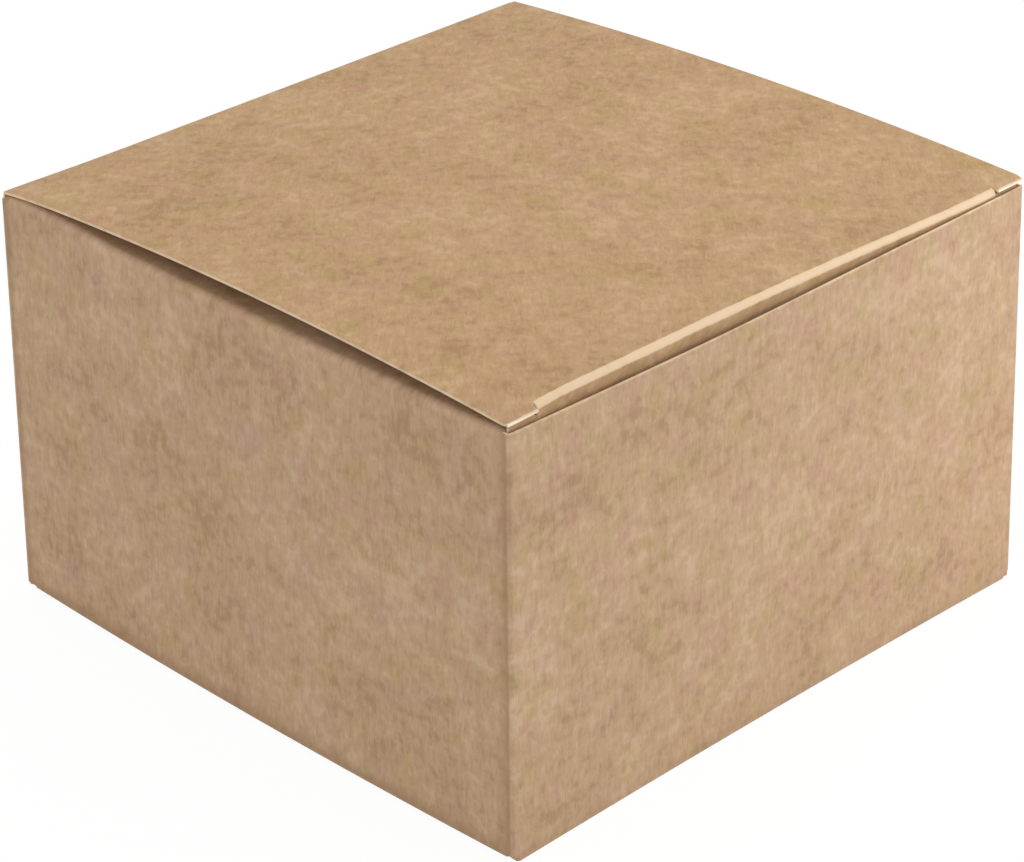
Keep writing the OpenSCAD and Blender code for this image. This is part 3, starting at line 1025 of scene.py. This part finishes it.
def kraft_face(name, painted_light_tint):
    """Uncoated kraft board, paler where a crease has broken its fibres, with a painted highlight on the tuck
    fold, painted shade beside the walls' folds and feet, and on the lid a cast of painted warmer light.
    """
    if name in bpy.data.materials:
        return bpy.data.materials[name]
    colours = settings().colours
    material, tree, shader = new_material(name)
    fibres = place_fibres(tree)
    worn_and_painted_light = add_node(tree, "ShaderNodeAttribute", attribute_name=WEAR_AND_PAINTED_LIGHT)
    tone = mix_colour(tree, ramp(tree, fibres["Hue"], 0.46, 0.34), colours.base, colours.rosy)
    tone = mix_colour(tree, ramp(tree, fibres["Hue"], 0.54, 0.66), tone, colours.olive)
    tone = mix_colour(tree, ramp(tree, fibres["Blotch"], 0.5, 0.37, 0, 0.46), tone, colours.dark)
    tone = mix_colour(tree, ramp(tree, fibres["Blotch"], 0.5, 0.63, 0, 0.46), tone, colours.pale)
    tone = mix_colour(tree, math_node(tree, "MULTIPLY", fibres["Dark"], 0.22), tone, colours.dark)
    tone = mix_colour(tree, math_node(tree, "MULTIPLY", fibres["Pale"], 0.25), tone, colours.pale)
    tone = mix_colour(tree, math_node(tree, "MULTIPLY", fibres["Speck"], 0.2), tone, colours.speck)
    # Painted shade: below 0 the attribute darkens the board towards the dark fibre colour
    tone = mix_colour(tree, ramp(tree, worn_and_painted_light.outputs["Fac"], 0, -1, 0, 0.8), tone, colours.dark)
    # Paler patches of broken fibres along creases; on the tuck fold the same pale colour is also a painted
    # highlight
    offset = math_node(tree, "SUBTRACT", worn_and_painted_light.outputs["Fac"], 0.8)
    wear_and_highlight_mask = math_node(tree, "MULTIPLY_ADD", fibres["Blotch"], 1.6, offset)
    tone = mix_colour(tree, ramp(tree, wear_and_highlight_mask, 0.25, 0.95, 0, 0.9), tone, colours.worn_and_painted_light)
    # Multiplies in the piece's cast of painted light: warmer and darker on the lid, none on the walls
    feed(tree, shader.inputs["Base Color"], mix_colour(tree, 1, tone, painted_light_tint, "MULTIPLY"))
    feed(tree, shader.inputs["Roughness"], ramp(tree, fibres["Blotch"], 0.3, 0.7, 0.9, 0.8))
    shader.inputs["Specular IOR Level"].default_value = 0.25
    feed(tree, shader.inputs["Normal"], bump(tree, fibres["Height"], 0.04 * MM, 0.6))
    return material


def cut_edge():
    """The board's cut edge, where its paler pulp shows."""
    name = "Cut edge"
    if name in bpy.data.materials:
        return bpy.data.materials[name]
    colours = settings().colours
    material, tree, shader = new_material(name)
    fibres = place_fibres(tree)
    worn_and_painted_light = add_node(tree, "ShaderNodeAttribute", attribute_name=WEAR_AND_PAINTED_LIGHT)
    tone = mix_colour(tree, ramp(tree, fibres["Blotch"], 0.35, 0.6), colours.edge_dark, colours.edge)
    # Paler still where the attribute is high: the tabs' front edges and the cut ends of the tuck fold, whose
    # band is also a painted highlight
    tone = mix_colour(tree, ramp(tree, worn_and_painted_light.outputs["Fac"], 0.65, 0.95), tone, colours.edge_worn)
    feed(tree, shader.inputs["Base Color"], tone)
    shader.inputs["Roughness"].default_value = 0.9
    shader.inputs["Specular IOR Level"].default_value = 0.2
    feed(tree, shader.inputs["Normal"], bump(tree, fibres["Height"], 0.03 * MM, 0.5))
    return material


def seen_or_reflected(tree):
    """1 for rays from the camera, in a reflection or through glass."""
    path = add_node(tree, "ShaderNodeLightPath")
    seen = math_node(tree, "MAXIMUM", path.outputs["Is Camera Ray"], path.outputs["Is Glossy Ray"])
    return math_node(tree, "MAXIMUM", seen, path.outputs["Is Transmission Ray"])


def floor_material():
    """White floor that stays white to the eye, but for a share of the object's shadow."""
    material = bpy.data.materials.new("White floor")
    material.use_nodes = True
    tree = material.node_tree
    tree.nodes.clear()
    output = add_node(tree, "ShaderNodeOutputMaterial")
    paint = add_node(tree, "ShaderNodeBsdfDiffuse")
    stage = settings().stage
    paint.inputs["Color"].default_value = (stage.floor, stage.floor, stage.floor, 1)
    glow = add_node(tree, "ShaderNodeEmission")
    glow.inputs["Strength"].default_value = stage.floor_glow
    blend = add_node(tree, "ShaderNodeMixShader")
    feed(tree, blend.inputs[0], math_node(tree, "MULTIPLY", seen_or_reflected(tree), stage.floor_clear))
    feed(tree, blend.inputs[1], paint.outputs["BSDF"])
    feed(tree, blend.inputs[2], glow.outputs["Emission"])
    feed(tree, output.inputs["Surface"], blend.outputs["Shader"])
    return material


# Operators


class BURGERBOX_OT_stage(bpy.types.Operator):
    """Sets the camera, the lamp, the world and the floor"""

    bl_idname = "burger_box.stage"
    bl_label = "Stage"

    def execute(self, context):
        self.set_camera(context)
        self.set_world(context)
        self.set_lamp(context)
        self.set_floor(context)
        context.scene.view_settings.view_transform = "Standard"
        return {"FINISHED"}

    def set_camera(self, context):
        stage = settings().stage
        ahead = Vector(
            (
                math.cos(stage.down) * math.cos(stage.heading),
                math.cos(stage.down) * math.sin(stage.heading),
                -math.sin(stage.down),
            )
        )
        level = Vector((math.sin(stage.heading), -math.cos(stage.heading), 0))
        right = level * math.cos(stage.roll) + level.cross(ahead) * math.sin(stage.roll)
        camera = bpy.data.objects.new("Camera", bpy.data.cameras.new("Camera"))
        camera.data.lens = stage.lens
        camera.data.sensor_width = 36
        camera.data.clip_start = 0.01
        turn = Matrix((right, right.cross(ahead), -ahead)).transposed()
        camera.matrix_world = Matrix.Translation(stage.eye) @ turn.to_4x4()
        context.scene.collection.objects.link(camera)
        context.scene.camera = camera

    def set_world(self, context):
        world = bpy.data.worlds.new("White room")
        world.use_nodes = True
        tree = world.node_tree
        tree.nodes.clear()
        output = add_node(tree, "ShaderNodeOutputWorld")
        background = add_node(tree, "ShaderNodeBackground")
        strength = ramp(tree, seen_or_reflected(tree), 0, 1, settings().stage.sky, 1)
        feed(tree, background.inputs["Strength"], strength)
        feed(tree, background.inputs["Color"], (1, 1, 1, 1))
        feed(tree, output.inputs["Surface"], background.outputs["Background"])
        context.scene.world = world

    def set_lamp(self, context):
        stage = settings().stage
        lamp = bpy.data.lights.new("Right softbox", "AREA")
        lamp.energy = stage.key
        lamp.size = stage.key_size
        softbox = bpy.data.objects.new(lamp.name, lamp)
        softbox.location = stage.key_place
        softbox.rotation_euler = softbox.location.to_track_quat("Z", "Y").to_euler()
        softbox.visible_camera = False
        context.scene.collection.objects.link(softbox)

    def set_floor(self, context):
        bm = bmesh.new()
        bmesh.ops.create_grid(bm, x_segments=1, y_segments=1, size=3)
        mesh = bpy.data.meshes.new("Floor")
        bm.to_mesh(mesh)
        bm.free()
        mesh.materials.append(floor_material())
        floor = bpy.data.objects.new("Floor", mesh)
        context.scene.collection.objects.link(floor)


class BURGERBOX_OT_carton(bpy.types.Operator):
    """Folds the carton: walls, dust flaps, glued corner and locking base"""

    bl_idname = "burger_box.carton"
    bl_label = "Carton"

    def execute(self, context):
        bm = CartonBlank().build()
        for turned_round in (False, True):
            add_glue_triangle(bm, turned_round)
        piece = sheet_object("carton_sheet", bm, kraft_face("Kraft face", settings().colours.wall_tint))
        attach(piece, "carton")
        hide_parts("carton")
        return {"FINISHED"}


class BURGERBOX_OT_lid(bpy.types.Operator):
    """Folds the lid: arched panel, slit tabs, soft tuck fold and tuck flap"""

    bl_idname = "burger_box.lid"
    bl_label = "Lid"

    def execute(self, context):
        # The lid's copy of the kraft, under its cast of painted warmer light
        face = kraft_face("Lid face", settings().colours.lid_painted_light)
        piece = sheet_object("lid_sheet", LidBlank().build(), face)
        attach(piece, "lid")
        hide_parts("lid")
        return {"FINISHED"}


class BURGERBOX_OT_crease(bpy.types.Operator):
    """Bends the crease that joins the hinge wall and the lid"""

    bl_idname = "burger_box.crease"
    bl_label = "Hinge crease"

    def execute(self, context):
        # The crease shares the lid's copy of the kraft, with its painted warmer light
        face = kraft_face("Lid face", settings().colours.lid_painted_light)
        piece = sheet_object("hinge_crease", build_crease(), face)
        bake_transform(piece)
        return {"FINISHED"}


class BURGERBOX_PT_panel(bpy.types.Panel):
    """Lists the settings and the steps of the burger box"""

    bl_idname = "BURGERBOX_PT_panel"
    bl_label = "Burger box"
    bl_space_type = "VIEW_3D"
    bl_region_type = "UI"
    bl_category = "Burger box"

    def draw(self, context):
        for group in (settings().carton, settings().lid, settings().colours, settings().stage):
            column = self.layout.column(heading=group.bl_rna.description)
            for name in group.bl_rna.properties.keys():
                if name not in ("rna_type", "name"):
                    column.prop(group, name)
        for operator in STEPS:
            self.layout.operator(operator.bl_idname)


STEPS = (BURGERBOX_OT_stage, BURGERBOX_OT_carton, BURGERBOX_OT_lid, BURGERBOX_OT_crease)
CLASSES = (CartonSizes, LidSizes, KraftColours, StageSettings, BurgerBox, *STEPS, BURGERBOX_PT_panel)


def register():
    for cls in CLASSES:
        bpy.utils.register_class(cls)
    bpy.types.Scene.burger_box = PointerProperty(type=BurgerBox)


def unregister():
    del bpy.types.Scene.burger_box
    for cls in reversed(CLASSES):
        bpy.utils.unregister_class(cls)


def main():
    register()
    bpy.ops.burger_box.stage()
    bpy.ops.burger_box.carton()
    bpy.ops.burger_box.lid()
    bpy.ops.burger_box.crease()


if __name__ == "__main__":
    main()
